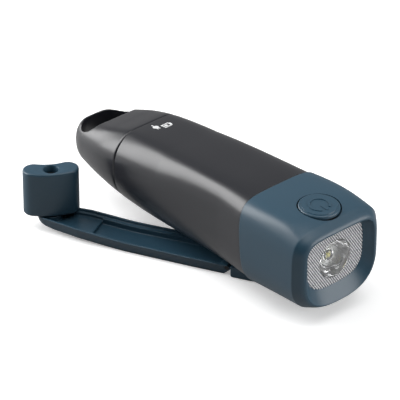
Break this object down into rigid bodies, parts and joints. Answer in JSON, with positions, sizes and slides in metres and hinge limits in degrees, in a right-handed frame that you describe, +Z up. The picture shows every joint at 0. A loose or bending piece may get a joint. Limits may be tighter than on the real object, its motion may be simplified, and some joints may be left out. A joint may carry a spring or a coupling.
{
  "type": "hand-crank dynamo torch",
  "caption": "Hand-crank torch with a square ribbed lens, a top button, a tail ring and a folding crank under the body.",
  "frame": {"origin": "where the crank's axis meets the resting plane", "axes": "+X from the tail ring to the lens, +Z up through the body's flat top"},
  "size_m": [0.149, 0.0717, 0.0465],
  "materials": {
    "blue_abs": "satin",
    "black_abs": "gloss",
    "clear_pc": "gloss",
    "black_rubber": "matte",
    "nickel_steel": "satin",
    "bright_film": "gloss",
    "zinc_screw": "satin",
    "bronze": "satin",
    "white_pom": "satin",
    "black_frame_pom": "satin",
    "circuit_board": "satin",
    "white_board": "satin",
    "chip_black": "matte",
    "copper_wire": "gloss",
    "magnet": "matte",
    "cell_foil": "satin",
    "foam": "matte",
    "led_yellow": "gloss",
    "sink_aluminium": "satin"
  },
  "bodies": {
    "torch": {"body_shell": "black_abs", "tail_seal": "black_rubber", "head_shell": "blue_abs", "head_seal": "black_rubber", "button_seal": "black_rubber", "tact_switch": "chip_black", "switch_board": "circuit_board", "switch_screws": "zinc_screw", "lens_plate": "clear_pc", "lens_gasket": "black_rubber", "optic": "clear_pc", "reflector": "bright_film", "led_chip": "led_yellow", "led_board": "white_board", "heat_sink": "sink_aluminium", "led_board_screws": "zinc_screw", "main_board": "circuit_board", "board_parts": "chip_black", "usb_socket": "nickel_steel", "socket_plate": "black_frame_pom", "socket_screws": "zinc_screw", "charge_leds": "led_yellow", "light_pipes": "clear_pc", "battery_cell": "cell_foil", "battery_pad": "foam", "gearbox_base": "black_frame_pom", "gearbox_cover": "black_frame_pom", "gearbox_screws": "zinc_screw", "base_screws": "zinc_screw", "board_screws": "zinc_screw", "gear_axles": "nickel_steel", "crank_bush": "bronze", "spindle_seal": "black_rubber", "stator_core": "nickel_steel", "stator_cap": "nickel_steel", "stator_coil": "copper_wire"},
    "cap": {"tail_cap": "black_abs"},
    "button": {"power_button": "blue_abs"},
    "crank": {"crank_hub": "blue_abs", "crank_spindle": "nickel_steel", "crank_gear": "white_pom", "spindle_screw": "zinc_screw"},
    "arm": {"crank_arm": "blue_abs", "hinge_pin": "nickel_steel", "knob_pin": "nickel_steel", "knob_screw": "zinc_screw"},
    "finger_knob": {"knob": "blue_abs"},
    "first_idler": {"idler_gear_1": "white_pom"},
    "second_idler": {"idler_gear_2": "white_pom"},
    "rotor": {"rotor_pinion": "bronze", "rotor_shaft": "nickel_steel", "rotor_magnet": "magnet"}
  },
  "joints": [
    {"name": "crank_spin", "type": "hinge", "parent": "torch", "child": "crank", "pos_m": [0, 0, 0.012], "axis": [0, 0, 1], "range_deg": [-3, 312]},
    {"name": "arm_drop", "type": "hinge", "parent": "crank", "child": "arm", "pos_m": [-0.00894, -0.00426, 0.0036], "axis": [0.4305, -0.9026, 0], "range_deg": [0, 45]},
    {"name": "knob_spin", "type": "hinge", "parent": "arm", "child": "finger_knob", "pos_m": [-0.08123, -0.03875, 0.014], "axis": [0, 0, 1], "continuous": true},
    {"name": "button_press", "type": "slide", "parent": "torch", "child": "button", "axis": [0, 0, -1], "range_m": [0, 0.0008], "stiffness_N_per_m": 1500, "springref_m": -0.0005, "deforming": ["button_seal"]},
    {"name": "cap_pull", "type": "slide", "parent": "torch", "child": "cap", "axis": [-1, 0, 0], "range_m": [0, 0.012]},
    {"name": "first_idler_spin", "type": "hinge", "parent": "torch", "child": "first_idler", "pos_m": [-0.0165, 0, 0.016], "axis": [0, 0, 1], "continuous": true},
    {"name": "second_idler_spin", "type": "hinge", "parent": "torch", "child": "second_idler", "pos_m": [-0.03, 0, 0.018], "axis": [0, 0, 1], "continuous": true},
    {"name": "rotor_spin", "type": "hinge", "parent": "torch", "child": "rotor", "pos_m": [-0.042, 0, 0.02], "axis": [0, 0, 1], "continuous": true}
  ],
  "couplings": [
    {"joint": "first_idler_spin", "follows": "crank_spin", "ratio": -4.5},
    {"joint": "second_idler_spin", "follows": "crank_spin", "ratio": 15.75},
    {"joint": "rotor_spin", "follows": "crank_spin", "ratio": -59.85}
  ]
}
